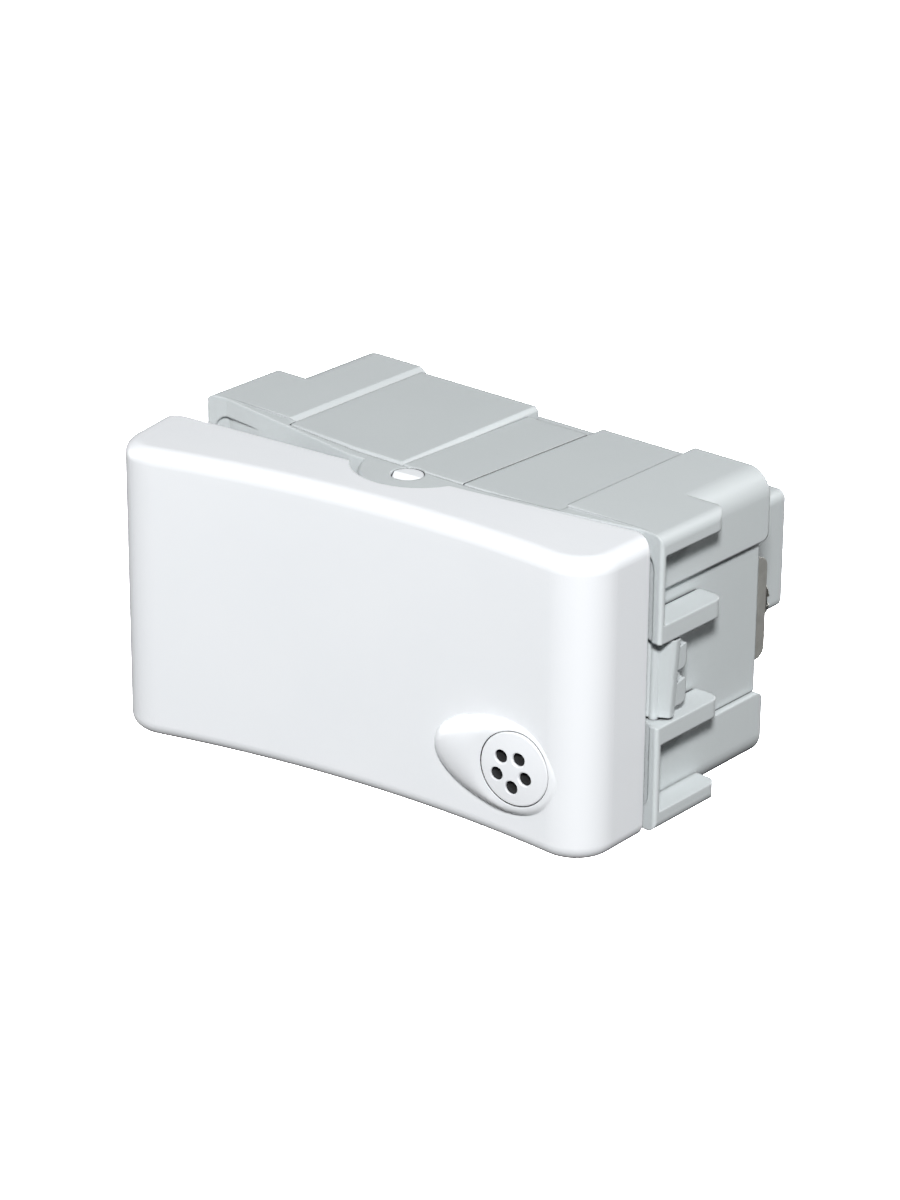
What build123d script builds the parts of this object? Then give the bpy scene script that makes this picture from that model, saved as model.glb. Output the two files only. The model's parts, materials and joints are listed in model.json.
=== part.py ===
from build123d import *
import math
import os

# A flush light switch module: a concave rocker key on a clip-in frame, with its contact works inside.
# X runs along the key, +Y goes into the wall box, +Z is up, all sizes are in millimetres.
# The origin is the middle of the support's window, in the plane where the finger tips seat.
# Depths named here count from the back of the frame's side strips, positive into the wall box.

# Size of the module and of the frame that clips it into its support
module_width = 43.4
module_height = 22.8
finger_reach = 7.0
finger_width = 2.25
outer_finger_thickness = 1.55
inner_finger_low = 3.2
inner_finger_thickness = 1.4
finger_tip_round = 0.95
frame_edge_round = 0.8
crest_depth = 0.45
crest_round = 0.25
strip_bevel = 0.35
web_thickness = 0.5
strip_slope_drop = 0.35
strip_slope_inset = 1.2
corner_pocket_depth = 0.3
corner_pocket_length = 4.9
corner_pocket_inset = 0.8
corner_pocket_low = 1.5
corner_pocket_round = 1.3
lip_thickness = 1.6
lip_depth_middle = 1.3
lip_depth_end = 0.85
lip_gap = 0.06
window_half_x = 8.0
window_half_z = 6.5
arm_slot_half_x = 3.3

# Corner arms of the frame, which wrap the housing
arm_inset = 1.95
arm_length = 6.85
arm_height = 5.35
arm_back = 14.84
arm_wall = 1.6
arm_round = 1.95
arm_corner_round = 0.6
arm_bevel_x = 0.55
arm_bevel_z = 0.38
hook_length = 0.5
hook_thickness = 0.34

# Rocker key and its hinge
key_inset = 0.35
key_overhang = 0.1
key_tilt = 6.3
key_draft = 5.0
key_wall = 1.5
key_face_depth = 6.45
key_face_radius = 96.0
key_rim_depth = 1.1
key_rim_rise = 0.35
key_side_depth = 1.5
key_foot_inset = 1.55
key_corner_round = 3.2
key_edge_round = 1.15
key_inner_round = 0.6
rim_gap = 0.7
rim_notch_x = 5.8
pivot_depth = 2.3
boss_radius = 4.6
boss_offset = 1.5
boss_thickness = 1.9
boss_drop = 0.35
boss_gap = 0.45
boss_edge_round = 0.3
pin_radius = 1.2
pin_ramp = 38.0
pin_ramp_flat = 0.55
running_gap = 0.06
arm_gap = 0.25
key_arm_half_x = 2.4
key_arm_thickness = 1.5
key_rib = 1.2

# Raised nose at the key's lower right, with its round insert of five holes
nose_from_end = 6.61
nose_from_edge = 6.28
nose_height = 0.6
nose_left = 7.1
nose_right = 4.4
nose_half_height = 3.6
nose_shift_x = -0.5
nose_shift_z = -0.29
nose_back = 2.0
nose_round = 1.0
insert_radius = 2.8
insert_thickness = 0.5
insert_gap = 0.05
insert_edge = 0.08
insert_crown = 0.15
hole_radius = 0.42
hole_circle = 1.29
hole_count = 5
hole_start_angle = 58.3
hole_shift_x = -0.2
hole_shift_z = -0.23
hole_rim = 0.08
seal_radius = 2.6
seal_thickness = 0.5
seal_lip = 0.5

# Spring plunger that the key swings over the see-saw blade
tube_radius = 3.0
tube_reach = 5.4
plunger_radius = 2.0
plunger_front = 1.6
plunger_shoulder = 1.1
plunger_tip_radius = 1.6
pilot_radius = 0.95
pilot_length = 1.3
spring_wire = 0.42
spring_radius = 1.42
spring_turns = 4
spring_wire_sides = 8
spring_front = 2.6
spring_gap = 0.3

# See-saw blade with its contacts
blade_tilt = 5.0
blade_front = 7.9
blade_end_gap = 2.0
blade_half_z = 2.5
blade_thickness = 0.6
blade_round = 1.2
blade_gap = 0.1
ear_reach = 1.4
ear_radius = 0.9
ear_thickness = 0.6
contact_inset = 2.0
contact_radius = 1.5
contact_height = 0.75
contact_crown = 0.15
contact_gap = 0.1

# Terminals: brass strips, clamp plates and their screws
strip_metal = 0.7
strip_half_z = 2.6
strip_inner_reach = 1.7
leg_gap = 0.2
foot_end_inset = 0.25
plate_inset = 0.6
plate_width = 5.0
plate_half_z = 4.05
plate_thickness = 1.2
plate_round = 0.9
plate_gap = 0.03
screw_radius = 1.25
screw_clearance = 0.15
screw_head_radius = 2.2
screw_head_height = 1.2
screw_head_edge = 0.3
screw_length = 2.9
slot_width = 0.7
slot_depth = 0.6
pillar_half_x = 5.0
pillar_front = 17.5
pillar_back = 24.0
pillar_low_z = -3.0
pillar_high_z = 2.2
tongue_half_z = 0.45
tongue_half_x = 2.2
saddle_half_x = 1.9
saddle_half_z = 3.2
saddle_base_gap = 0.6
wire_x = 2.9
wire_z = -0.8
wire_radius = 1.4
wire_stop = 18.6
common_screw_depth = 20.5
common_screw_lift = 1.35
common_screw_tip = 0.15
well_gap = 0.3

# Housing halves and the rear terminal tower
split_x = -1.35
housing_gap = 0.05
left_top_drop = 0.2
right_top_drop = 0.3
right_top_fall = 0.4
split_bevel = 0.3
top_edge_round = 0.25
left_back = 14.3
right_back = 14.84
notch_back = 13.1
notch_right_x = 4.27
seam_width = 0.12
seam_depth = 0.12
side_inset = 0.5
side_back = 14.47
housing_wall = 1.6
rear_wall_front = 12.5
chamber_inset = 1.7
chamber_wall = 1.8
tower_gap = 0.35
tower_half_z = 4.85
tower_front = 11.5
tower_back = 26.25
tower_round = 0.8
tower_lip_z = 0.8
core_inset = 3.6
core_half_x = 2.4
core_half_z = 3.4
core_depth = 8.0
core_round = 0.6

# Side latches between the inner fingers
latch_gap = 0.15
latch_root_gap = 1.0
latch_root_depth = 1.0
latch_pin_radius = 0.4
latch_pin_length = 0.8
latch_inner_gap = 0.4
latch_inner_depth = 0.38
latch_proud = 0.1
latch_outer_depth = 1.35
latch_slant = 0.2
latch_blade = 0.75
latch_edge_round = 0.3
tooth_inner_gap = 1.4
tooth_thickness = 0.7
tooth_front = 1.6
tooth_back = 3.2
tooth_top_gap = 0.3
tooth_pitch = 2.72
tooth_height = 2.4
tooth_slant = 0.6
tooth_round = 0.5
tooth_recess = 0.25
tooth_recess_height = 0.8
tooth_recess_slope = 0.34
tooth_count = 2

# Places worked out from the sizes above
over = 5.0
half_w = module_width / 2
half_h = module_height / 2
strip_back = -finger_reach
pivot_y = strip_back - pivot_depth
web_back = strip_back + web_thickness
arm_outer_x = half_w - arm_inset
arm_inner_x = arm_outer_x - arm_length
arm_low_z = half_h - arm_height
side_half_x = arm_outer_x - side_inset
side_half_z = arm_low_z - housing_gap
plate_outer_x = side_half_x - plate_inset
plate_inner_x = plate_outer_x - plate_width
side_screw_x = plate_outer_x - plate_width / 2
foot_end_x = plate_outer_x - foot_end_inset
tower_half_x = plate_inner_x - tower_gap
leg_x = tower_half_x + leg_gap
core_x = tower_half_x - core_inset
chamber_half_x = arm_inner_x - chamber_inset
chamber_half_z = half_h - chamber_wall
blade_half_x = chamber_half_x - blade_end_gap
contact_x = blade_half_x - contact_inset
strip_inner_x = contact_x - strip_inner_reach
saddle_base_x = strip_inner_x - saddle_base_gap
latch_root_x = side_half_x + latch_root_gap
latch_inner_x = side_half_x + latch_inner_gap
latch_outer_x = half_w + latch_proud
tooth_inner_x = side_half_x + tooth_inner_gap
tooth_outer_x = tooth_inner_x + tooth_thickness
tooth_top_z = inner_finger_low - latch_gap - tooth_top_gap
key_half_w = half_w - key_inset
key_half_h = half_h + key_overhang
key_foot_x = key_half_w - key_foot_inset
key_turn = math.radians(key_tilt)
boss_top = half_h - boss_drop
boss_low = boss_top - boss_thickness
boss_y = pivot_y + boss_offset
key_arm_top = boss_low - arm_gap
face_centre = -key_face_depth - key_face_radius
key_at_rest = Pos(0, pivot_y, 0) * Rot(0, 0, key_tilt)
nose_x = key_half_w - nose_from_end
nose_z = nose_from_edge - key_half_h
nose_y = face_centre + math.sqrt(key_face_radius**2 - nose_x**2) - nose_height
nose_seat = Pos(nose_x, nose_y, nose_z)
ear_y = strip_back + blade_front + blade_thickness + ear_reach
blade_at_rest = Pos(0, ear_y, 0) * Rot(0, 0, -blade_tilt)
plunger_end = blade_front + pivot_depth - blade_gap
moving_contact_back = contact_height + contact_crown - ear_reach
contact_drop = contact_x * math.sin(math.radians(blade_tilt))
fixed_contact_y = ear_y + moving_contact_back + contact_drop + contact_gap
strip_front = strip_back + tower_front - strip_metal
fixed_contact_height = strip_front - fixed_contact_y
foot_back = strip_back + side_back + strip_metal
plate_front = foot_back + plate_gap
plate_back = plate_front + plate_thickness
common_head_z = pillar_high_z + common_screw_lift
well_radius = screw_head_radius + well_gap


def block(x0, x1, y0, y1, z0, z1):
    """A box between two corners."""
    centre = Pos((x0 + x1) / 2, (y0 + y1) / 2, (z0 + z1) / 2)
    return centre * Box(abs(x1 - x0), abs(y1 - y0), abs(z1 - z0))


def prism(points, z0, z1):
    """A plan outline raised from z0 to z1."""
    outline = make_face(Polyline(*points, close=True))
    return extrude(Pos(0, 0, z0) * outline, z1 - z0)


def side_prism(points, x0, x1):
    """An outline of (y, z) points, drawn out from x0 to x1."""
    outline = make_face(Polyline(*points, close=True))
    return extrude(Plane.YZ.offset(x0) * outline, x1 - x0)


def rod_y(radius, x, y0, y1, z):
    """A round rod along Y."""
    return Pos(x, (y0 + y1) / 2, z) * Rot(90, 0, 0) * Cylinder(radius, abs(y1 - y0))


def rod_z(radius, x, y, z0, z1):
    """A round rod along Z."""
    return Pos(x, y, (z0 + z1) / 2) * Cylinder(radius, abs(z1 - z0))


def left_and_right(shape):
    """A shape with its mirror image across the middle plane."""
    return shape + mirror(shape, Plane.YZ)


def top_and_bottom(shape):
    """A shape with its mirror image across the level plane."""
    return shape + mirror(shape, Plane.XY)


def four_corners(shape):
    """A corner's shape repeated at all four corners."""
    return left_and_right(top_and_bottom(shape))


def edges_where(shape, axis, test):
    """The straight edges along an axis whose middle passes a test."""
    return shape.edges().filter_by(axis).filter_by(lambda edge: test(edge.center()))


def closing_line(x):
    """Where the key's rim at x lands on the frame when that end is pressed in."""
    rim = key_rim_rise * (x - rim_notch_x) / (key_foot_x - rim_notch_x) - key_rim_depth
    across = x * math.cos(key_turn) - rim * math.sin(key_turn)
    depth = pivot_y + x * math.sin(key_turn) + rim * math.cos(key_turn) + rim_gap
    return across, depth


def make_web():
    """The frame's plate, whose front is the shallow V that the tilted key closes on."""
    crest_y = strip_back - crest_depth
    front = [
        (arm_outer_x, web_back),
        (half_w - strip_bevel, strip_back + strip_bevel),
        (half_w, strip_back),
        (half_w, crest_y),
        closing_line(key_foot_x),
        closing_line(rim_notch_x),
    ]
    mirrored = [(-x, y) for x, y in reversed(front)]
    web = prism(front + mirrored, -half_h, half_h)
    crests = edges_where(web, Axis.Z, lambda c: abs(c.X) > half_w - housing_gap and c.Y < crest_y + housing_gap)
    return fillet(crests, crest_round)


def corner_pocket():
    """The shallow pocket in the front of each end, which the key's corner dips into."""
    outer_x = half_w - corner_pocket_inset
    valley_x, valley_y = closing_line(key_foot_x)
    notch_x, notch_y = closing_line(rim_notch_x)
    inner_x = outer_x - corner_pocket_length
    inner_y = valley_y - (valley_x - inner_x) * (valley_y - notch_y) / (valley_x - notch_x)
    outer_y = strip_back - crest_depth + corner_pocket_depth
    far_y = strip_back - over
    plan = [(inner_x, far_y), (inner_x, inner_y), (valley_x, valley_y + corner_pocket_depth), (outer_x, outer_y),
            (outer_x, far_y)]
    top = half_h - corner_pocket_low
    pocket = prism(plan, -top, top)
    return fillet(edges_where(pocket, Axis.Y, lambda c: c.X > outer_x - housing_gap), corner_pocket_round)


def lip_line(shift):
    """Plan points of the line where the frame's top strip ends and the housing begins."""
    ends = [(arm_inner_x, lip_depth_end), (rim_notch_x, lip_depth_middle)]
    right = [(x, strip_back - depth + shift) for x, depth in ends]
    return right + [(-x, y) for x, y in reversed(right)]


def make_arm():
    """One corner arm, an L-shaped wall with a hook behind the housing's corner."""
    back = strip_back + arm_back
    inner_x = arm_outer_x - arm_wall
    inner_z = half_h - arm_wall
    wall = block(inner_x, arm_outer_x, strip_back, back, arm_low_z, half_h)
    lower_edge = wall.edges().filter_by(Axis.X).sort_by(Axis.Z)[:2].sort_by(Axis.Y)[-1]
    wall = fillet(lower_edge, arm_corner_round)
    arm = wall + block(arm_inner_x, arm_outer_x, strip_back, back, inner_z, half_h)
    outer_edge = edges_where(arm, Axis.Y, lambda c: c.X > inner_x and c.Z > inner_z).sort_by(Axis.Z)[-1]
    arm = fillet(outer_edge, arm_round)
    arm += block(inner_x - hook_length, inner_x, back - hook_thickness, back, arm_low_z + arm_corner_round, inner_z)
    return arm


def make_fingers():
    """The outer and the inner finger of one corner bracket."""
    outer = block(arm_outer_x - arm_round, half_w, strip_back, 0, half_h - outer_finger_thickness, half_h)
    top = inner_finger_low + inner_finger_thickness
    inner = block(half_w - finger_width, half_w, strip_back, 0, inner_finger_low, top)
    fingers = outer + inner
    tips = edges_where(fingers, Axis.Z, lambda c: c.X > half_w - housing_gap and c.Y > -housing_gap)
    return fillet(tips, finger_tip_round)


def make_front_frame():
    """The frame: web, hinge bosses, corner arms and the C-shaped finger brackets."""
    frame = make_web() + four_corners(make_fingers())
    outline = RectangleRounded(module_width, module_height, frame_edge_round)
    frame = frame & Rot(90, 0, 0) * extrude(outline, half_w, both=True)
    frame += four_corners(make_arm())
    frame -= left_and_right(corner_pocket())
    disc = rod_z(boss_radius, 0, boss_y, boss_low, boss_top)
    disc = fillet(disc.edges().sort_by(Axis.Z)[-1], boss_edge_round)
    frame += top_and_bottom(disc & block(-half_w, half_w, pivot_y - over, web_back, 0, half_h))

    # Room for the housing's front lips above and below the web
    lip_room = prism(lip_line(0) + [(-arm_inner_x, web_back + over), (arm_inner_x, web_back + over)],
                     half_h - lip_thickness, half_h + over)
    frame -= top_and_bottom(lip_room)

    # The top of the front strip falls towards the middle
    drop = strip_slope_drop
    strip_slope_end = half_w - strip_slope_inset
    fall = [(-strip_slope_end, half_h), (-rim_notch_x, half_h - drop), (rim_notch_x, half_h - drop)]
    fall += [(strip_slope_end, half_h), (strip_slope_end, half_h + over), (-strip_slope_end, half_h + over)]
    wedge = extrude(make_face(Polyline(*fall, close=True)), over)
    wedge = Pos(0, strip_back, 0) * Rot(90, 0, 0) * wedge
    frame -= top_and_bottom(wedge)

    # A latch shows in the open middle of each side
    inner_x = half_w - finger_width - strip_bevel
    frame -= left_and_right(block(inner_x, half_w + over, pivot_y - over, web_back + over,
                                  -inner_finger_low, inner_finger_low))
    pin_room = rod_z(latch_pin_radius + running_gap, latch_root_x, strip_back + latch_root_depth,
                     0, inner_finger_low + latch_pin_length + running_gap)
    frame -= four_corners(pin_room)

    # Openings for the key's tube and hinge arms, and the hinge holes
    frame -= block(-window_half_x, window_half_x, pivot_y - over, web_back + over, -window_half_z, window_half_z)
    frame -= block(-arm_slot_half_x, arm_slot_half_x, pivot_y - over, web_back + over, -boss_low, boss_low)
    frame -= rod_z(pin_radius + running_gap, 0, pivot_y, -half_h - over, half_h + over)

    # Bevels along the left arms' inner edges
    bevel = [(-arm_inner_x, half_h + over), (-arm_inner_x - arm_bevel_x, half_h + over)]
    bevel += [(-arm_inner_x - arm_bevel_x, half_h), (-arm_inner_x, half_h - arm_bevel_z)]
    cut = Pos(0, strip_back + arm_back + over, 0) * Rot(90, 0, 0) * extrude(
        make_face(Polyline(*bevel, close=True)), arm_back + over)
    frame -= top_and_bottom(cut)
    return frame


def key_side_x(y, inset):
    """Half width of the key at a depth in its own frame, its ends drawn in towards the face."""
    return key_half_w - inset + math.tan(math.radians(key_draft)) * (y + key_side_depth)


def key_outline(inset, rim_out):
    """Plan outline of the key in its own frame, inset by a wall and open towards +Y by rim_out."""
    radius = key_face_radius + inset
    half = key_side_x(face_centre + math.sqrt(radius**2 - key_half_w**2), inset)
    end = face_centre + math.sqrt(radius**2 - half**2)
    face_arc = ThreePointArc((-half, end), (0, face_centre + radius), (half, end))
    side_end = rim_out - key_side_depth
    right = [(half, end), (key_side_x(side_end, inset), side_end),
             (key_foot_x - inset, rim_out + key_rim_rise - key_rim_depth), (rim_notch_x, rim_out - key_rim_depth)]
    rim = Polyline(*right, *[(-x, y) for x, y in reversed(right)])
    return make_face(face_arc + rim)


def key_shell():
    """The key's outer skin with its wall."""
    plan = key_outline(0, 0)
    plan = fillet(plan.vertices().filter_by(lambda v: v.Y < -key_face_depth), key_corner_round)
    solid = extrude(plan, key_half_h, both=True)
    front_line = -key_side_depth - key_wall
    outer_edges = solid.edges().filter_by(
        lambda e: abs(abs(e.center().Z) - key_half_h) < housing_gap and e.center().Y < front_line)
    solid = fillet(outer_edges, key_edge_round)
    room = extrude(key_outline(key_wall, over), key_half_h - key_wall, both=True)
    inner_edges = room.edges().filter_by(lambda e: e.center().Y < front_line)
    return solid - fillet(inner_edges, key_inner_round)


def make_nose():
    """The raised egg-shaped nose round the insert, its flat top square to the key's depth."""
    left_arc = EllipticalCenterArc((0, 0), nose_left, nose_half_height, start_angle=90, arc_size=180)
    right_arc = EllipticalCenterArc((0, 0), nose_right, nose_half_height, start_angle=270, arc_size=180)
    outline = Pos(nose_shift_x, 0, nose_shift_z) * Rot(90, 0, 0) * make_face(left_arc + right_arc)
    nose = extrude(outline, -nose_back)
    top = nose.faces().sort_by(Axis.Y)[0]
    return fillet(top.edges(), nose_round)


def make_rocker():
    """The key with its nose, hinge arms, pins and spring tube."""
    key = key_shell()
    inner_face = face_centre + key_face_radius + key_wall / 2

    # Hinge arms behind the face, each with a pin that reaches into a boss
    low = key_arm_top - key_arm_thickness
    arm = block(-key_arm_half_x, key_arm_half_x, inner_face, 0, low, key_arm_top)
    arm += rod_z(key_arm_half_x, 0, 0, low, key_arm_top)
    pin_top = boss_top - running_gap
    pin = rod_z(pin_radius, 0, 0, key_arm_top, pin_top)
    ramp = Pos(0, pin_radius - 2 * pin_ramp_flat, pin_top) * Rot(pin_ramp, 0, 0)
    pin -= ramp * block(-over, over, -over, 0, 0, over)
    key += top_and_bottom(arm + pin)

    # Spring tube with its rib
    key += rod_y(tube_radius, 0, inner_face, tube_reach, 0)
    key += block(-key_rib / 2, key_rib / 2, inner_face, -key_rim_depth - key_rib, -key_arm_top, key_arm_top)
    key -= rod_y(plunger_radius + running_gap, 0, -spring_front, tube_reach + over, 0)

    # Nose with the stepped bore for the five-hole insert
    seal_back = insert_thickness + seal_thickness
    key += nose_seat * make_nose()
    key -= nose_seat * rod_y(insert_radius + insert_gap, 0, -over, insert_thickness, 0)
    key -= nose_seat * rod_y(seal_radius + insert_gap, 0, 0, seal_back, 0)
    key -= nose_seat * rod_y(seal_radius - seal_lip, 0, 0, seal_back + over, 0)

    # Notches that clear the frame's round bosses
    notch = rod_z(boss_radius + boss_gap, 0, boss_offset, key_arm_top, half_h + over)
    keep = rod_z(pin_radius + running_gap, 0, 0, 0, pin_top)
    key -= top_and_bottom(notch - keep)
    return key_at_rest * key


def make_grille_insert():
    """The round insert with a ring of five countersunk holes."""
    ball = (insert_radius**2 + insert_crown**2) / (2 * insert_crown)
    disc = rod_y(insert_radius, 0, -insert_crown, insert_thickness, 0)
    disc = disc & Pos(0, ball - insert_crown, 0) * Sphere(ball)
    front_edge = disc.edges().filter_by(GeomType.CIRCLE).sort_by(Axis.Y)[0]
    disc = chamfer(front_edge, insert_edge)
    for index in range(hole_count):
        angle = math.radians(hole_start_angle + index * 360 / hole_count)
        x = hole_shift_x + hole_circle * math.cos(angle)
        z = hole_shift_z + hole_circle * math.sin(angle)
        disc -= rod_y(hole_radius, x, -over, over, z)
        sink = Cone(hole_radius + insert_crown + hole_rim, hole_radius, insert_crown + hole_rim,
                    align=(Align.CENTER, Align.CENTER, Align.MIN))
        disc -= Pos(x, -insert_crown, z) * Rot(-90, 0, 0) * sink
    return key_at_rest * nose_seat * disc


def make_dust_seal():
    """The dark disc that closes the holes from behind."""
    front = insert_thickness
    return key_at_rest * nose_seat * rod_y(seal_radius, 0, front, front + seal_thickness, 0)


def make_plunger():
    """The nylon plunger with its round tip and the pilot for its spring."""
    tip_centre = plunger_end - plunger_tip_radius
    side = Polyline((0, plunger_front - pilot_length), (pilot_radius, plunger_front - pilot_length),
                    (pilot_radius, plunger_front), (plunger_radius, plunger_front),
                    (plunger_radius, tip_centre - plunger_shoulder), (plunger_tip_radius, tip_centre))
    tip = RadiusArc((plunger_tip_radius, tip_centre), (0, plunger_end), -plunger_tip_radius)
    outline = make_face(side + tip + Line((0, plunger_end), (0, plunger_front - pilot_length)))
    return key_at_rest * revolve(outline, Axis.Y)


def make_plunger_spring():
    """The coil spring between the tube's floor and the plunger."""
    first = -spring_front + spring_wire / 2
    last = plunger_front - spring_gap - spring_wire / 2
    height = last - first
    path = Helix(height / spring_turns, height, spring_radius)
    start = Plane(origin=path @ 0, z_dir=path % 0)
    wire = sweep(start * RegularPolygon(spring_wire / 2, spring_wire_sides), path=path)
    least = height / spring_turns - spring_wire
    print("plunger_spring: least gap between turns", round(least, 3), "mm")
    return key_at_rest * Pos(0, first, 0) * Rot(-90, 0, 0) * wire


def make_blade():
    """The see-saw blade with two ears that rock in the saddle's groove."""
    front = -ear_reach - blade_thickness
    blade = block(-blade_half_x, blade_half_x, front, -ear_reach, -blade_half_z, blade_half_z)
    blade = fillet(edges_where(blade, Axis.Y, lambda c: True), blade_round)
    ear = block(-ear_radius, ear_radius, -ear_reach, 0, blade_half_z - ear_thickness, blade_half_z)
    ear += rod_z(ear_radius, 0, 0, blade_half_z - ear_thickness, blade_half_z)
    return blade_at_rest * (blade + top_and_bottom(ear))


def contact_rivet(height):
    """A contact with a slightly crowned face, standing on the level plane towards +Y."""
    rise = contact_crown
    ball = (contact_radius**2 + rise**2) / (2 * rise)
    body = rod_y(contact_radius, 0, 0, height + rise, 0)
    return body & (Pos(0, height + rise - ball, 0) * Sphere(ball))


def make_moving_contact(side):
    """A contact on the back of the blade."""
    return blade_at_rest * Pos(side * contact_x, -ear_reach, 0) * contact_rivet(contact_height)


def make_fixed_contact(side):
    """A contact on the front of a terminal strip."""
    rivet = contact_rivet(fixed_contact_height - contact_crown)
    return Pos(side * contact_x, strip_front, 0) * Rot(0, 0, 180) * rivet


def make_terminal(side):
    """A bent brass strip from the contact, through the rear wall, to the foot under the clamp plate."""
    strip = block(strip_inner_x, leg_x + strip_metal, strip_front, strip_front + strip_metal,
                  -strip_half_z, strip_half_z)
    strip += block(leg_x, leg_x + strip_metal, strip_front, foot_back, -strip_half_z, strip_half_z)
    strip += block(leg_x, foot_end_x, strip_back + side_back, foot_back, -strip_half_z, strip_half_z)
    bends = edges_where(strip, Axis.Z, lambda c: leg_x - housing_gap < c.X < leg_x + strip_metal + housing_gap)
    outer_bends = bends.filter_by(
        lambda e: abs(e.center().X - leg_x) + abs(e.center().Y - foot_back) < housing_gap
        or abs(e.center().X - leg_x - strip_metal) + abs(e.center().Y - strip_front) < housing_gap)
    strip = fillet(outer_bends, strip_metal * 0.8)
    strip -= rod_y(screw_radius + running_gap, side_screw_x, strip_back, foot_back + over, 0)
    return strip if side > 0 else mirror(strip, Plane.YZ)


def make_terminal_common():
    """The common terminal: saddle for the blade, tongue, and a pillar with two wire bores."""
    base = block(-saddle_base_x, saddle_base_x, strip_front, strip_front + strip_metal,
                 -saddle_half_z, saddle_half_z)
    base += block(-saddle_half_x, saddle_half_x, ear_y, strip_front, -saddle_half_z, saddle_half_z)
    groove_z = blade_half_z + housing_gap
    base -= rod_z(ear_radius + running_gap, 0, ear_y, -groove_z, groove_z)
    tongue = block(-tongue_half_x, tongue_half_x, strip_front, strip_back + pillar_front,
                   -tongue_half_z, tongue_half_z)
    pillar = block(-pillar_half_x, pillar_half_x, strip_back + pillar_front, strip_back + pillar_back,
                   pillar_low_z, pillar_high_z)
    terminal = base + tongue + pillar
    for side in (-1, 1):
        terminal -= rod_y(wire_radius, side * wire_x, strip_back + wire_stop, strip_back + pillar_back + over, wire_z)
        terminal -= rod_z(screw_radius + running_gap, side * wire_x, strip_back + common_screw_depth,
                          wire_z, pillar_high_z + over)
    return terminal


def make_screw(length):
    """A slotted cheese-head screw, its shank down from the level plane and its head above it."""
    head = rod_z(screw_head_radius, 0, 0, 0, screw_head_height)
    head = chamfer(head.edges().sort_by(Axis.Z)[-1], screw_head_edge)
    shank = rod_z(screw_radius, 0, 0, -length, 0)
    shank = chamfer(shank.edges().sort_by(Axis.Z)[0], screw_head_edge)
    slot = block(-over, over, -slot_width / 2, slot_width / 2, screw_head_height - slot_depth, over)
    return head + shank - slot


def make_clamp_plate(side):
    """The zinc-plated plate that pinches the wires on the terminal's foot."""
    plate = block(plate_inner_x, plate_outer_x, plate_front, plate_back, -plate_half_z, plate_half_z)
    plate = fillet(edges_where(plate, Axis.X, lambda c: c.Y > plate_front + plate_gap), plate_round)
    plate -= rod_y(screw_radius + screw_clearance, side_screw_x, plate_front - over, plate_back + over, 0)
    return plate if side > 0 else mirror(plate, Plane.YZ)


def make_clamp_screw(side):
    """The screw of a side clamp, its head towards the back."""
    return Pos(side * side_screw_x, plate_back, 0) * Rot(-90, 0, 0) * make_screw(screw_length)


def make_common_screw(side):
    """A clamping screw of the common terminal, its head up in the tower's well."""
    length = common_head_z - wire_z - wire_radius - common_screw_tip
    return Pos(side * wire_x, strip_back + common_screw_depth, common_head_z) * make_screw(length)


def make_tower():
    """The terminal tower with its front lips, pillar pocket, wire entries and screw wells."""
    front = strip_back + tower_front
    back = strip_back + tower_back
    tower = block(-tower_half_x, tower_half_x, front, back, -tower_half_z, tower_half_z)
    tower = fillet(edges_where(tower, Axis.Y, lambda c: True), tower_round)
    tower = fillet(tower.faces().sort_by(Axis.Y)[-1].edges(), tower_round / 2)
    lip_z = tower_half_z + tower_lip_z
    tower += block(-tower_half_x, tower_half_x, front, strip_back + rear_wall_front, -lip_z, lip_z)
    gap = housing_gap
    tower -= block(-pillar_half_x - gap, pillar_half_x + gap, front - over, strip_back + pillar_back + gap,
                   pillar_low_z - gap, pillar_high_z + gap)
    for side in (-1, 1):
        tower -= rod_y(wire_radius, side * wire_x, front, back + over, wire_z)
        tower -= rod_z(well_radius, side * wire_x, strip_back + common_screw_depth, 0, tower_half_z + over)
        core = block(side * core_x - core_half_x, side * core_x + core_half_x, back - core_depth, back + over,
                     -core_half_z, core_half_z)
        tower -= fillet(edges_where(core, Axis.Y, lambda c: True), core_round)
    return tower


def make_housing():
    """The whole housing before it is split into its two halves."""
    gap = housing_gap
    top = half_h - left_top_drop
    inner_x = arm_inner_x - gap
    front = lip_line(lip_gap)
    front[0] = (inner_x, front[0][1])
    front[-1] = (-inner_x, front[-1][1])
    plan = front + [(-inner_x, strip_back + left_back), (inner_x, strip_back + left_back)]
    body = prism(plan, -top, top)
    rims = body.edges().filter_by(lambda e: abs(e.center().Z) > top - gap and e.center().Y < strip_back - gap)
    rims = rims.filter_by(lambda e: abs(e.center().X) < inner_x - gap)
    body = chamfer(rims, top_edge_round)
    body -= rod_z(pin_radius + running_gap + gap, 0, pivot_y, -half_h, half_h)
    body -= block(-half_w, half_w, strip_back - over, web_back + gap, -half_h + lip_thickness - gap,
                  half_h - lip_thickness + gap)
    body += block(notch_right_x, inner_x, strip_back + left_back - over, strip_back + right_back,
                  side_half_z, top)
    corner_x = arm_outer_x - arm_wall - gap
    corner_z = half_h - arm_wall - gap
    hook_front = strip_back + arm_back - hook_thickness - gap
    body += block(-corner_x, corner_x, web_back + gap, hook_front, -corner_z, corner_z)
    body += block(-side_half_x, side_half_x, web_back + gap, strip_back + side_back, -side_half_z, side_half_z)
    return body


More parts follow.
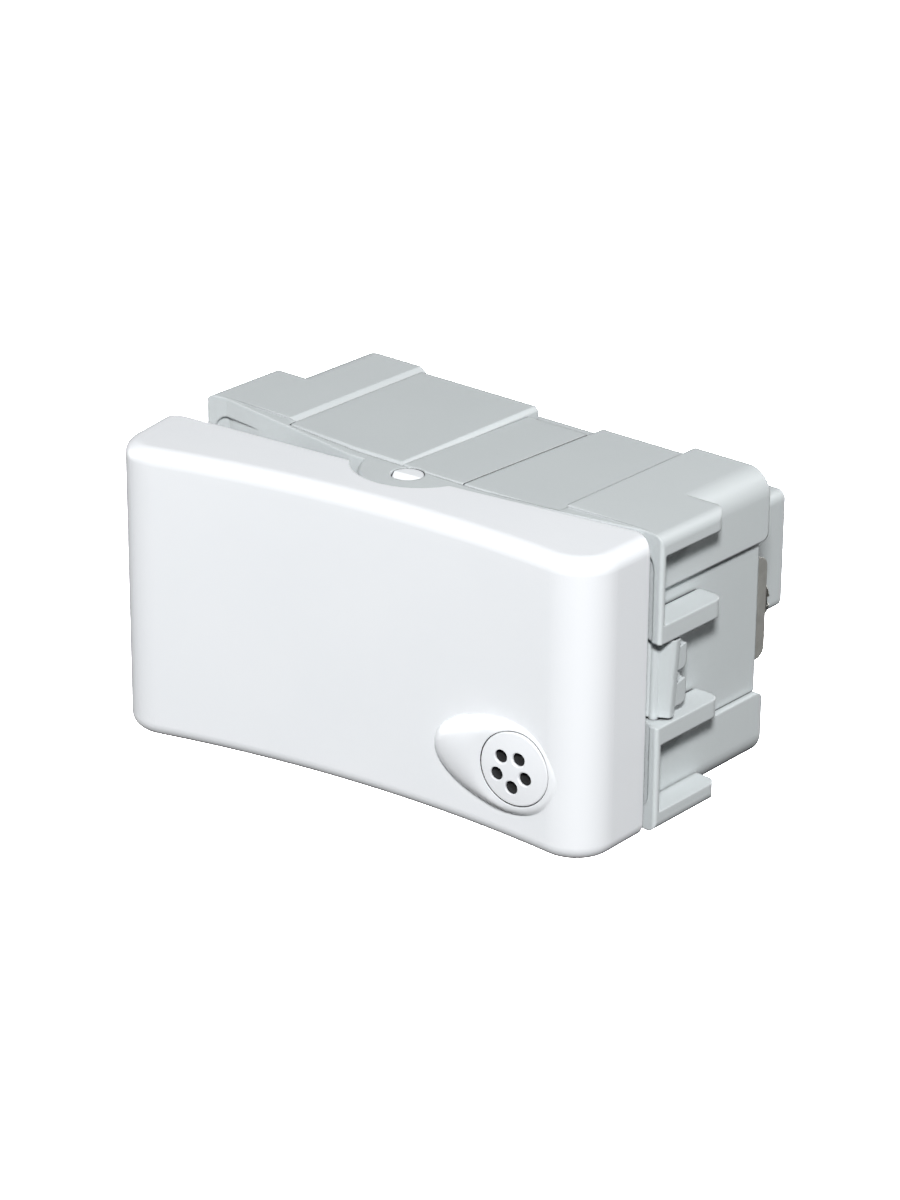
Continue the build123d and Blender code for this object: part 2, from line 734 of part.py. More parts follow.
def cut_chamber(body):
    """Opens the room for the contact works and the window for the tower."""
    rear = strip_back + rear_wall_front
    body -= block(-chamber_half_x, chamber_half_x, strip_back, rear, -chamber_half_z, chamber_half_z)
    wide_x = side_half_x - housing_wall
    low_z = half_h - arm_wall - housing_wall
    body -= block(housing_wall - arm_outer_x + arm_wall, arm_outer_x - arm_wall - housing_wall,
                  strip_back, rear, -low_z, low_z)
    body -= block(-wide_x, wide_x, strip_back, rear, -side_half_z + housing_wall, side_half_z - housing_wall)
    gap = housing_gap
    body -= block(-tower_half_x - gap, tower_half_x + gap, strip_back, strip_back + arm_back + over,
                  -tower_half_z - gap, tower_half_z + gap)
    slot_x = leg_x + strip_metal + gap
    body -= block(-slot_x, slot_x, strip_back, strip_back + arm_back + over, -strip_half_z - gap, strip_half_z + gap)
    for side in (-1, 1):
        depth = plate_back - screw_length - running_gap
        body -= rod_y(screw_radius + screw_clearance, side * side_screw_x, depth, strip_back + arm_back + over, 0)
    return body


def shape_top(body):
    """Cuts the stepped and sloping top, the rear notch and the fine seam."""
    top = half_h
    drop = top - right_top_drop
    slope = [(strip_back - over, top + over), (strip_back - over, drop), (strip_back - lip_depth_middle, drop)]
    slope += [(strip_back + right_back, drop - right_top_fall), (strip_back + arm_back + over, drop - right_top_fall)]
    slope += [(strip_back + arm_back + over, top + over)]
    body -= side_prism(slope, split_x, arm_inner_x)
    body -= block(split_x, notch_right_x, strip_back + notch_back, strip_back + arm_back + over, side_half_z, top)
    body -= block(notch_right_x, notch_right_x + seam_width, strip_back - over, strip_back + arm_back + over,
                  drop - right_top_fall - seam_depth, top)
    return body


def make_housing_halves():
    """The left and the right half, parted where the top steps."""
    body = shape_top(cut_chamber(make_housing()))
    far = over + half_w
    left = body & block(-far, split_x, -far, far + over, -far, far)
    right = body & block(split_x, far, -far, far + over, -far, far)
    step = edges_where(left, Axis.Y, lambda c: abs(c.X - split_x) < housing_gap and c.Z > half_h - over / 2)
    left = chamfer(step.sort_by(Axis.Z)[-1:], split_bevel)
    return left, right


def make_latch(side):
    """A springy side latch: slanted blade, root pins, and a toothed bar that bites on the support."""
    z = inner_finger_low - latch_gap
    inner_y = strip_back + latch_inner_depth
    outer_y = strip_back + latch_outer_depth
    slices = []
    for level, shift in ((-z, -latch_slant), (z, latch_slant)):
        outer_x = latch_outer_x - latch_slant + shift
        outline = Polyline((latch_inner_x, inner_y), (outer_x, outer_y), (outer_x, outer_y + latch_blade),
                           (latch_inner_x, outer_y + latch_blade / 2), close=True)
        slices.append(Pos(0, 0, level) * make_face(outline))
    blade = loft(slices, ruled=True)
    rim_x = latch_outer_x - 2 * latch_slant - latch_gap
    rims = blade.edges().filter_by(lambda e: e.center().X > rim_x and abs(e.center().Z) < latch_gap)
    blade = fillet(rims, latch_edge_round)
    pin_end = z + latch_gap + latch_pin_length
    blade += rod_z(latch_pin_radius, latch_root_x, strip_back + latch_root_depth, -pin_end, pin_end)
    for index in range(tooth_count):
        top = tooth_top_z - index * tooth_pitch
        low = top - tooth_height
        profile = [(strip_back + tooth_front, top), (strip_back + tooth_back - tooth_slant, top),
                   (strip_back + tooth_back, top - tooth_slant), (strip_back + tooth_back, low),
                   (strip_back + tooth_front, low)]
        tooth = side_prism(profile, tooth_inner_x, tooth_outer_x)
        tooth = fillet(edges_where(tooth, Axis.X, lambda c: c.Y > strip_back + tooth_back - tooth_round
                                   and c.Z < low + tooth_round), tooth_round)
        step = top - tooth_recess_height
        recess = [(strip_back + tooth_front, step), (strip_back + tooth_back, step + tooth_recess_slope),
                  (strip_back + tooth_back, top + over), (strip_back + tooth_front, top + over)]
        blade += tooth - side_prism(recess, tooth_outer_x - tooth_recess, tooth_outer_x + over)
    return blade if side > 0 else mirror(blade, Plane.YZ)


def make_all():
    """Every sub-part by its node's name."""
    left, right = make_housing_halves()
    parts = {
        "rocker": make_rocker(),
        "grille_insert": make_grille_insert(),
        "dust_seal": make_dust_seal(),
        "plunger": make_plunger(),
        "plunger_spring": make_plunger_spring(),
        "front_frame": make_front_frame(),
        "housing_left": left,
        "housing_right": right,
        "terminal_tower": make_tower(),
        "terminal_common": make_terminal_common(),
        "seesaw_blade": make_blade(),
    }
    for name, side in (("left", -1), ("right", 1)):
        parts["moving_contact_" + name] = make_moving_contact(side)
        parts["fixed_contact_" + name] = make_fixed_contact(side)
        parts["terminal_" + name] = make_terminal(side)
        parts["clamp_plate_" + name] = make_clamp_plate(side)
        parts["clamp_screw_" + name] = make_clamp_screw(side)
        parts["common_screw_" + name] = make_common_screw(side)
        parts["latch_" + name] = make_latch(side)
    return parts


os.makedirs("parts", exist_ok=True)
for node, shape in make_all().items():
    export_step(shape, "parts/" + node + ".step")
    print(node, "solids", len(shape.solids()), "volume", round(shape.volume, 2))
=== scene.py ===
# %% [markdown]
# A flush light switch module, photographed as a clean catalogue picture: a white concave key
# on a grey clip-in frame and housing. The construction comes ready made from the frame, so this
# lesson is about finish: moulded plastics with soft edges, plated metal, a white studio and a
# long lens. Two pieces are also shaped again, more finely than the construction has them: the
# round insert with its five holes, and the key with the domed nose that carries it.

# %% Load the switch
import math

import bpy
from mathutils import Matrix, Vector
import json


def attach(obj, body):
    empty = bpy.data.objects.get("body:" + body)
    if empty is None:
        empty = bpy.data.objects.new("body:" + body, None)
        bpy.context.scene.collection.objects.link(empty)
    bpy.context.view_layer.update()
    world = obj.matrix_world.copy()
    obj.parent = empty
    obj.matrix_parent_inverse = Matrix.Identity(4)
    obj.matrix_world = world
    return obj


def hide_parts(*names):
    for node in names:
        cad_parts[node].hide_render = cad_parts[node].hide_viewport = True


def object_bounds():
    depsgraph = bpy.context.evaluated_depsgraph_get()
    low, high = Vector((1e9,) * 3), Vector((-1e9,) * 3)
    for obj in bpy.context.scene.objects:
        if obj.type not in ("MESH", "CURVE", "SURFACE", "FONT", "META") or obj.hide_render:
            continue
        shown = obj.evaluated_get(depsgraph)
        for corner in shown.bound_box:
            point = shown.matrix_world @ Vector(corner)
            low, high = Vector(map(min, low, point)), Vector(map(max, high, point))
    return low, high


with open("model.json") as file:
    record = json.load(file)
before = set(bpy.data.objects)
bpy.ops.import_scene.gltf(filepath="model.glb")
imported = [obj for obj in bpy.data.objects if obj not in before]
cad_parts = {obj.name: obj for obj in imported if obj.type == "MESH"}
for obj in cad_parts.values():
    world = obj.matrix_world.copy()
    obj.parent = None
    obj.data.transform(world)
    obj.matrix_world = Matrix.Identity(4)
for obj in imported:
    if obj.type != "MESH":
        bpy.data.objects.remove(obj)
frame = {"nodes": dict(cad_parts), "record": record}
cad_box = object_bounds()
nodes = frame["nodes"]
mm = 0.001
print("nodes", len(nodes), "box", [[round(v / mm, 2) for v in corner] for corner in cad_box])

# %% [markdown]
# Every finish here starts from the same blank: a node material with one Principled shader. Making
# the blank in one place keeps the recipes short, because each of them then only says what it adds.

# %% A blank material
def new_material(name):
    """An empty node material with its shader, ready for wiring."""
    material = bpy.data.materials.new(name)
    material.use_nodes = True
    shader = material.node_tree.nodes["Principled BSDF"]
    return material, material.node_tree, shader


# %% [markdown]
# Every plastic of the switch is injection moulded. Seen close, such a surface has things that a
# flat colour lacks, and the first is a faint drift of tone where the melt flowed. It could be
# painted, but a noise does it without a picture and at any size. The noise is laid in the part's
# own space, in real lengths, so the drift is as wide on a small piece as on a large one. The same
# noise can also be mapped to a range of numbers, which is how the shine is made to vary.

# %% Noise, and what it drives
drift_starts, drift_ends = 0.3, 0.7


def noise(tree, size, detail=2.0):
    """A noise whose blobs are about this size in metres, laid in the part's own space."""
    place = tree.nodes.new("ShaderNodeTexCoord")
    texture = tree.nodes.new("ShaderNodeTexNoise")
    texture.inputs["Scale"].default_value = 1.0 / size
    texture.inputs["Detail"].default_value = detail
    tree.links.new(place.outputs["Object"], texture.inputs["Vector"])
    return texture.outputs["Fac"]


def tone_drift(tree, source, light, dark):
    """Two near tones, blended by a noise."""
    ramp = tree.nodes.new("ShaderNodeValToRGB")
    ramp.color_ramp.elements[0].position = drift_starts
    ramp.color_ramp.elements[0].color = (*dark, 1)
    ramp.color_ramp.elements[1].position = drift_ends
    ramp.color_ramp.elements[1].color = (*light, 1)
    tree.links.new(source, ramp.inputs["Fac"])
    return ramp.outputs["Color"]


def between(tree, source, low, high):
    """Maps a noise to a range of numbers."""
    spread = tree.nodes.new("ShaderNodeMapRange")
    spread.inputs["To Min"].default_value = low
    spread.inputs["To Max"].default_value = high
    tree.links.new(source, spread.inputs["Value"])
    return spread.outputs["Result"]


# %% [markdown]
# A moulded or stamped edge is never quite sharp, and it is the thin bright line along it that makes
# a piece look solid. The edges could be rounded in the mesh, but the construction isn't changed
# here. The Bevel node rounds only the normal, over a fraction of a millimetre, which is enough for
# the light. The fine grain that the mould leaves is a bump on top of that normal.

# %% Soft edges and grain
edge_samples = 8


def soft_edge(tree, radius):
    """A normal that is rounded over the edges."""
    bevel = tree.nodes.new("ShaderNodeBevel")
    bevel.samples = edge_samples
    bevel.inputs["Radius"].default_value = radius
    return bevel.outputs["Normal"]


def grain(tree, source, depth, normal):
    """A bump of this depth in metres on top of a normal."""
    bump = tree.nodes.new("ShaderNodeBump")
    bump.inputs["Distance"].default_value = depth
    tree.links.new(source, bump.inputs["Height"])
    tree.links.new(normal, bump.inputs["Normal"])
    return bump.outputs["Normal"]


# %% [markdown]
# In the picture the seams between two mouldings are thin dark lines, because hardly any light
# reaches their bottom. The lamps alone leave them paler here than they are there, so that shade
# is painted into the colour. The Ambient Occlusion node tells how closed in a point is within a
# short reach, and where it is closed in, the colour goes over to a near black as painted shade.

# %% Painted shade in seams
seam_reach = 0.7 * mm
# The near black of the painted shade in seams.
painted_shade_colour = (0.035, 0.038, 0.04, 1)
seam_closed, seam_open = 0.3, 0.62
seam_samples = 8


def painted_seam_shade(tree, colour):
    """Paints shade into the colour at the bottom of seams and in inside corners."""
    hollow = tree.nodes.new("ShaderNodeAmbientOcclusion")
    hollow.samples = seam_samples
    hollow.inputs["Distance"].default_value = seam_reach
    spread = tree.nodes.new("ShaderNodeMapRange")
    spread.inputs["From Min"].default_value = seam_closed
    spread.inputs["From Max"].default_value = seam_open
    tree.links.new(hollow.outputs["AO"], spread.inputs["Value"])
    mix = tree.nodes.new("ShaderNodeMix")
    mix.data_type = "RGBA"
    mix.inputs["A"].default_value = painted_shade_colour
    tree.links.new(spread.outputs["Result"], mix.inputs["Factor"])
    tree.links.new(colour, mix.inputs["B"])
    return mix.outputs["Result"]


# %% [markdown]
# Now the parts come together as one recipe for moulded plastic. The drift is about a centimetre
# wide, as melt flows, and the spark-eroded grain is a sixth of a millimetre. The grain drives the
# bump and the roughness alike, since a pit in the surface is also a duller spot.

# %% Moulded plastic
melt_size, melt_detail = 9 * mm, 3
spark_size, spark_detail = 0.16 * mm, 3
smoother, rougher = 0.04, 0.05
plastic_gloss = 0.42


def moulded(name, light, dark, rough, grain_depth, edge):
    """Injection-moulded plastic: drift of tone, spark-eroded grain, soft edges, painted seam shade.
    """
    material, tree, shader = new_material(name)
    melt = noise(tree, melt_size, melt_detail)
    sparks = noise(tree, spark_size, spark_detail)
    # The seams get painted shade: the colour goes towards a near black where they are closed in.
    colour = painted_seam_shade(tree, tone_drift(tree, melt, light, dark))
    shine = between(tree, sparks, rough - smoother, rough + rougher)
    normal = grain(tree, sparks, grain_depth, soft_edge(tree, edge))
    tree.links.new(colour, shader.inputs["Base Color"])
    tree.links.new(shine, shader.inputs["Roughness"])
    tree.links.new(normal, shader.inputs["Normal"])
    shader.inputs["Specular IOR Level"].default_value = plastic_gloss
    return material


# %% [markdown]
# The key and its round insert are the pieces that people touch, so the maker gives them the best
# polish: a cool white with a satin shine. The frame and housing are a cheaper grey with a dead
# satin surface. The side latches are the same grey plastic with a little more shine, set a shade
# darker as painted shade, because their faces turn more to the main lamp. The nylon plunger is
# slightly yellow, and the seal behind the holes is black. The names are those of the record's
# slots, and the insert has a recipe of its own because it is polished more than the key.

# %% Plastics of the switch
plastic_recipes = [
    # name, light tone, dark tone, roughness, depth of grain in mm, width of edge in mm
    ("key_white", (0.78, 0.8, 0.825), (0.766, 0.788, 0.815), 0.34, 0.0015, 0.12),
    ("insert_white", (0.78, 0.8, 0.825), (0.766, 0.788, 0.815), 0.3, 0.001, 0.08),
    ("frame_grey", (0.53, 0.565, 0.575), (0.52, 0.555, 0.565), 0.48, 0.004, 0.22),
    ("housing_grey", (0.52, 0.555, 0.565), (0.51, 0.545, 0.555), 0.48, 0.004, 0.2),
    # The latch tone is a shade darker than the frame's as painted shade, since it faces the lamp
    # more.
    ("latch_grey", (0.5, 0.535, 0.545), (0.49, 0.525, 0.535), 0.42, 0.003, 0.12),
    ("nylon", (0.78, 0.75, 0.66), (0.75, 0.72, 0.62), 0.38, 0.002, 0.1),
    ("seal_black", (0.012, 0.012, 0.013), (0.008, 0.008, 0.009), 0.8, 0.006, 0.05),
]
finish = {name: moulded(name, light, dark, rough, depth * mm, edge * mm)
          for name, light, dark, rough, depth, edge in plastic_recipes}
print("plastics", list(finish))

# %% [markdown]
# The metal is stamped and plated. Stamping leaves fine parallel draw lines, so the noise is
# stretched along one axis before it drives the shine and the bump. A second noise, a millimetre or
# two wide, lets the plating drift in tone.

# %% Stamped metal
line_size, line_detail = 0.9 * mm, 4
blotch_size, blotch_detail = 1.6 * mm, 4
brighter, duller = 0.08, 0.1
line_depth = 0.003 * mm
metal_edge = 0.08 * mm


def stamped(name, light, dark, rough, stretch, metallic):
    """Plated or bare sheet metal with draw lines along one axis."""
    material, tree, shader = new_material(name)
    place = tree.nodes.new("ShaderNodeTexCoord")
    pull = tree.nodes.new("ShaderNodeMapping")
    pull.inputs["Scale"].default_value = stretch
    lines = tree.nodes.new("ShaderNodeTexNoise")
    lines.inputs["Scale"].default_value = 1.0 / line_size
    lines.inputs["Detail"].default_value = line_detail
    tree.links.new(place.outputs["Object"], pull.inputs["Vector"])
    tree.links.new(pull.outputs["Vector"], lines.inputs["Vector"])
    blotch = noise(tree, blotch_size, blotch_detail)
    shine = between(tree, lines.outputs["Fac"], rough - brighter, rough + duller)
    normal = grain(tree, lines.outputs["Fac"], line_depth, soft_edge(tree, metal_edge))
    tree.links.new(tone_drift(tree, blotch, light, dark), shader.inputs["Base Color"])
    tree.links.new(shine, shader.inputs["Roughness"])
    tree.links.new(normal, shader.inputs["Normal"])
    shader.inputs["Metallic"].default_value = metallic
    return material


# %% [markdown]
# Each metal gets its two tones, its roughness and the direction of its lines. The brass strips, the
# copper blade and the clamp plates are stamped from sheet and show lines, while the screws, the
# spring and the contacts show none. The clamp plates carry an olive passivation over zinc: it goes
# blotchy, so their tones lie further apart, and it hides most of the metal, so they are only a
# third metallic.

# %% Metals of the switch
metal_recipes = [
    # name, light tone, dark tone, roughness, stretch of the lines, how metallic
    ("brass", (0.80, 0.60, 0.27), (0.72, 0.52, 0.22), 0.32, (1, 1, 14), 1.0),
    ("blade_copper", (0.78, 0.44, 0.28), (0.70, 0.38, 0.23), 0.3, (1, 14, 14), 1.0),
    ("contact_silver", (0.86, 0.85, 0.82), (0.78, 0.77, 0.74), 0.22, (1, 1, 1), 1.0),
    ("spring_steel", (0.55, 0.55, 0.55), (0.47, 0.47, 0.47), 0.3, (1, 1, 1), 1.0),
    ("zinc_screw", (0.62, 0.62, 0.58), (0.52, 0.52, 0.48), 0.3, (1, 1, 1), 1.0),
    ("zinc_plate", (0.42, 0.423, 0.4), (0.32, 0.322, 0.302), 0.42, (12, 1, 1), 0.35),
]
for recipe in metal_recipes:
    finish[recipe[0]] = stamped(*recipe)
print("metals", [recipe[0] for recipe in metal_recipes])

# %% [markdown]
# Each node of the construction takes the finish of the plastic or metal it is made of. The record
# says which slot a node has, and the finishes have the slots' names, so no list is needed here.

# %% Dress the nodes
for subpart in frame["record"]["subparts"]:
    node = nodes[subpart["node"]]
    node.data.materials.clear()
    node.data.materials.append(finish[subpart["material_slot"]])
nodes["grille_insert"].data.materials[0] = finish["insert_white"]

# %% [markdown]
# The insert and the nose sit askew in space, because the key is tilted about its pins when the
# switch is at rest. It is easiest to shape them straight, in a seat of their own, and to lay them
# into the key by one matrix: the tilt of the key, and the place of the nose on it. In the seat the
# face looks along minus Y, X runs to the right and Z up. The middle of the insert is the origin.

# %% The seat of the nose
key_pivot = Vector((0, -9.3, 0)) * mm
key_tilt = math.radians(6.3)
nose_place = Vector((14.74, -8.188, -5.22)) * mm
nose_seat = Matrix.Translation(key_pivot) @ Matrix.Rotation(key_tilt, 4, "Z") \
    @ Matrix.Translation(nose_place)
print("nose at", [round(v / mm, 2) for v in nose_seat.translation])

# %% [markdown]
# The insert is round, and so are the cutters that drill it, so one helper makes them all as a lathe
# would: it turns an outline about the depth axis. An outline point on the axis becomes one vertex,
# and any other point a ring of them.

# %% A lathe
import bmesh


def turned_ring(shape, radius, depth, segments):
    """The vertices of one outline point: a ring, or a single one on the axis."""
    if not radius:
        return [shape.verts.new((0, depth, 0))]
    angles = (k * math.tau / segments for k in range(segments))
    return [shape.verts.new((radius * math.cos(a), depth, radius * math.sin(a))) for a in angles]


def turned(name, outline, segments):
    """Turns an outline of (radius, depth) points about the depth axis into a mesh object."""
    shape = bmesh.new()
    rings = [turned_ring(shape, radius, depth, segments) for radius, depth in outline]
    for near, far in zip(rings, rings[1:]):
        for k in range(segments):
            n = (k + 1) % segments
            if len(near) == 1:
                shape.faces.new((near[0], far[k], far[n]))
            elif len(far) == 1:
                shape.faces.new((near[n], near[k], far[0]))
            else:
                shape.faces.new((near[n], near[k], far[k], far[n]))
    bmesh.ops.recalc_face_normals(shape, faces=shape.faces)
    mesh = bpy.data.meshes.new(name)
    shape.to_mesh(mesh)
    shape.free()
    piece = bpy.data.objects.new(name, mesh)
    bpy.context.scene.collection.objects.link(piece)
    return piece


# %% [markdown]
# The insert is a thin web with a skirt behind its rim, like the lid of a small tin. Its face is
# crowned by a hair, so it catches the light a little differently from the nose round it. The crown
# is a parabola, taken in a few rings from the middle to just inside the rim.

# %% The round insert, still without holes
insert_radius = 2.8 * mm
insert_crown = 0.15 * mm
crown_rings = 8
rim_break = 0.07 * mm
web_back = 0.09 * mm
skirt_back = 0.5 * mm
skirt_inside_back, skirt_inside_web = 2.5 * mm, 2.4 * mm
insert_segments = 96

outline = []
for k in range(crown_rings + 1):
    r = (insert_radius - rim_break) * k / crown_rings
    outline.append((r, -insert_crown * (1 - (r / insert_radius) ** 2)))
outline += [(insert_radius, rim_break), (insert_radius, skirt_back),
            (skirt_inside_back, skirt_back), (skirt_inside_web, web_back), (0, web_back)]
insert = turned("round_insert", outline, insert_segments)
print("turned", insert.name, "with", len(insert.data.polygons), "faces")

# %% [markdown]
# Five holes go through the web, each with a small countersink. They stand evenly on a circle that
# isn't quite in the middle of the insert, as measured in the picture. Behind the web there is only
# the dark seal, so the holes look truly black. A stepped cutter, turned on the same lathe, makes
# hole and countersink in one cut, and a Boolean takes it away from the insert.

# %% Drill the five holes
hole_count = 5
hole_radius, countersink_radius = 0.5 * mm, 0.66 * mm
countersink_start, countersink_end = -0.06 * mm, -0.22 * mm
drill_tip, drill_head = 0.4 * mm, -0.6 * mm
circle_middle_x, circle_middle_z = -0.243, -0.188
circle_radius = 1.254
first_hole = 58.2
drill_segments = 48

drill_outline = [(0, drill_tip), (hole_radius, drill_tip), (hole_radius, countersink_start),
                 (countersink_radius, countersink_end), (countersink_radius, drill_head),
                 (0, drill_head)]
for k in range(hole_count):
    angle = math.radians(first_hole + 360 // hole_count * k)
    drill = turned("drill", drill_outline, drill_segments)
    drill.location = Vector((circle_middle_x + circle_radius * math.cos(angle), 0,
                             circle_middle_z + circle_radius * math.sin(angle))) * mm
    cut = insert.modifiers.new("hole", "BOOLEAN")
    cut.operation = "DIFFERENCE"
    cut.object = drill
    bpy.context.view_layer.update()
    seen = insert.evaluated_get(bpy.context.evaluated_depsgraph_get())
    drilled = bpy.data.meshes.new_from_object(seen)
    insert.modifiers.clear()
    insert.data = drilled
    bpy.data.objects.remove(drill)
print("drilled", hole_count, "holes,", len(insert.data.polygons), "faces")

# %% [markdown]
# The finished insert is laid into its seat and shaded smooth, while the edges of the holes and the
# rim stay sharp. It rides on the key, and it takes the place of the construction's own insert.

# %% Lay the insert into the nose
sharp_from = math.radians(32)

insert.data.transform(nose_seat)
insert.data.shade_smooth()
insert.data.set_sharp_from_angle(angle=sharp_from)
insert.data.materials.clear()
insert.data.materials.append(finish["insert_white"])
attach(insert, "key")
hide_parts("grille_insert")
print("insert", len(insert.data.polygons), "faces")

# %% [markdown]
# The nose round the insert is an egg-shaped hill. Next to the insert it is a flat ring, and from
# the ring it falls away in a soft curve to its foot, steeper on the short lower side than on the
# long left side. The construction has the hill as a flat plateau with a rounded rim. The first
# thing to know is how high that plateau stands above the key's hollow face, which is part of a wide
# circle, and how far out a point lies in the egg.

# %% The measures of the nose
egg_middle = Vector((-0.5, -0.29)) * mm
egg_left, egg_right, egg_half_height = 7.1 * mm, 4.4 * mm, 3.6 * mm
ring_radius = 3.5 * mm
face_radius = 96 * mm
face_centre = -102.45 * mm


def hill_height(x):
    """How far the plateau stands above the key's hollow face, at a place across the nose."""
    return face_centre + math.sqrt(face_radius**2 - (nose_place.x + x) ** 2) - nose_place.y


def egg_share(x, z):
    """Zero in the middle of the egg and one on its outline."""
    across = (x - egg_middle.x) / (egg_left if x < egg_middle.x else egg_right)
    return math.hypot(across, (z - egg_middle.y) / egg_half_height)


print("hill", [round(hill_height(x) / mm, 2) for x in (-egg_left, 0, egg_right)], "mm high")

# %% [markdown]
# Two questions are asked of every point of the key's mesh: is it on the hill, and if so, how deep
# does it sink? A point belongs to the hill when it lies between plateau and face, inside the egg
# and outside the insert's bore. The share that it sinks by grows from nothing at the ring to most
# of the hill's height at the outline, and a power of that share makes the dome round. Points on the
# rounded rim sink less the lower they are, so the foot itself stays on the face.

# %% The dome as a rule
plateau_slack, foot_slack, bore_slack = 0.05 * mm, 0.02 * mm, 0.03 * mm
outline_slack = 1.02
deepest_share, deepest = 0.72, 1.0 * mm
dome_power = 1.6


def on_hill(point):
    """Whether a point, given in the seat's own frame, is on the hill outside the insert's bore."""
    return (-plateau_slack < point.y < hill_height(point.x) + foot_slack
            and egg_share(point.x, point.z) < outline_slack
            and math.hypot(point.x, point.z) > insert_radius + bore_slack)


def sink(point):
    """How deep a point of the plateau or its rim sinks."""
    height = hill_height(point.x)
    outside_ring = math.hypot(point.x, point.z) - ring_radius
    share = egg_share(point.x, point.z)
    if height <= 0 or outside_ring <= 0:
        return 0
    from_middle = (Vector((point.x, point.z)) - egg_middle).length
    to_outline = (1 - min(share, 1)) * from_middle / share
    slope = outside_ring / (outside_ring + to_outline)
    left_above_foot = max(0, 1 - max(point.y, 0) / height)
    return min(deepest_share * height, deepest) * slope**dome_power * left_above_foot


# %% [markdown]
# The key is copied, so the construction stays as it is. Its own normals are noted down first,
# because shading the whole copy afresh would smear its large even face. The copy's plateau has far
# too few points for a dome, so its edges are halved, in a few rounds, until they are no longer than
# a third of a millimetre.

# %% Cut the plateau of the key into small triangles
longest_edge = 0.3 * mm
plateau_depth = 0.01 * mm
most_rounds = 7

key = bpy.data.objects.new("domed_key", nodes["rocker"].data.copy())
bpy.context.scene.collection.objects.link(key)
old_normals = [Vector()] * len(key.data.vertices)
for loop, normal in zip(key.data.loops, key.data.corner_normals):
    old_normals[loop.vertex_index] = old_normals[loop.vertex_index] + normal.vector
shape = bmesh.new()
shape.from_mesh(key.data)
shape.verts.ensure_lookup_table()
normal_of = {vert: normal.normalized() for vert, normal in zip(shape.verts, old_normals)}
to_seat = nose_seat.inverted()
for _ in range(most_rounds):
    bmesh.ops.triangulate(shape, faces=[f for f in shape.faces if len(f.verts) > 3])
    flat = {v for v in shape.verts
            if on_hill(to_seat @ v.co) and (to_seat @ v.co).y < plateau_depth}
    long_edges = [e for e in shape.edges
                  if e.calc_length() > longest_edge and set(e.verts) <= flat]
    if not long_edges:
        break
    bmesh.ops.subdivide_edges(shape, edges=long_edges, cuts=1)
bmesh.ops.triangulate(shape, faces=[f for f in shape.faces if len(f.verts) > 3])
print("plateau", len(flat), "points")

# %% [markdown]
# Now the dome is pressed into the copy: each point of the hill is brought into the seat's frame,
# sinks as the rule says, and goes back. The wall of the insert's bore isn't part of the dome, so
# the faces that touch it are left out of the list that is shaded anew.

# %% Sink the hill into a dome
bore_wall = 0.07 * mm

hill = {v for v in shape.verts if on_hill(to_seat @ v.co)}
hill_faces = [f for f in shape.faces if set(f.verts) <= hill
              and (to_seat @ f.calc_center_median()).xz.length > insert_radius + bore_wall]
for vert in hill:
    point = to_seat @ vert.co
    point.y += sink(point)
    vert.co = nose_seat @ point
print("hill", len(hill), "points,", len(hill_faces), "faces")

# %% [markdown]
# The copied mesh carries the maker's own normals, and they stay wherever nothing moved. Only the
# hill gets new ones: at each place, the mean of the hill's faces that meet there, the larger faces
# counting more. Faces beside the hill are left out of that mean, so the foot stays a clear line.
# Some points lie double, one for each face that meets there, so places are compared, not points.

# %% Normals of the domed nose
same_place = 0.002 * mm


def place_of(vert):
    """The place of a point as whole numbers, the same for points that lie double."""
    return tuple(round(c / same_place) for c in vert.co)


shape.normal_update()
hill_normal = {}
for face in hill_faces:
    for vert in face.verts:
        place = place_of(vert)
        hill_normal[place] = hill_normal.get(place, Vector()) + face.normal * face.calc_area()
for face in hill_faces:
    face.smooth = True
    for vert in face.verts:
        normal_of[vert] = hill_normal[place_of(vert)].normalized()
vertex_normals = [normal_of.get(vert, vert.normal).copy() for vert in shape.verts]
print("new normals at", len(hill_normal), "places")

# %% [markdown]
# With its normals set, the copy becomes a finished piece. It wears the white of the key, rides on
# the key, and takes the place of the construction's own key in every view.

# %% Finish the domed key
shape.to_mesh(key.data)
shape.free()
key.data.normals_split_custom_set_from_vertices(vertex_normals)
key.data.materials.clear()
key.data.materials.append(finish["key_white"])
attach(key, "key")
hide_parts("rocker")
print("key", len(key.data.polygons), "faces")

# %% [markdown]
# The picture has no visible ground, only white. In a studio that comes from a light table: white
# acrylic, lit from below until it burns out to white. Here the floor is a wide plate with a glow of
# its own. The glow is kept out of the bounced light, so that the tone of the switch comes from the
# lamps.

# %% The floor
floor_size = 3.0
floor_level = cad_box[0][2]
acrylic_light, acrylic_dark = (0.93, 0.93, 0.93), (0.92, 0.92, 0.92)
acrylic_blobs = 60 * mm
acrylic_roughness, acrylic_gloss, acrylic_glow = 0.9, 0.1, 9.0

bpy.ops.mesh.primitive_plane_add(size=floor_size, location=(0, 0, floor_level))
floor = bpy.context.object
floor.name = "floor"
acrylic, tree, shader = new_material("floor_acrylic")
acrylic_tone = tone_drift(tree, noise(tree, acrylic_blobs), acrylic_light, acrylic_dark)
tree.links.new(acrylic_tone, shader.inputs["Base Color"])
shader.inputs["Roughness"].default_value = acrylic_roughness
shader.inputs["Specular IOR Level"].default_value = acrylic_gloss
shader.inputs["Emission Color"].default_value = (1, 1, 1, 1)
shader.inputs["Emission Strength"].default_value = acrylic_glow
floor.data.materials.append(acrylic)
floor.visible_diffuse = False
floor.visible_glossy = False
floor.visible_shadow = False
print("floor", floor_size, "m wide, at", round(floor_level / mm, 2), "mm")

# %% [markdown]
# The sky is the same soft white all round, as in a light tent. It is very weak: its one task is to
# keep the undersides and the inside of the key from going black. The picture shows white as white,
# with no film curve over it, so the colours go to the screen as they are.

# %% The sky
sky_strength = 0.06

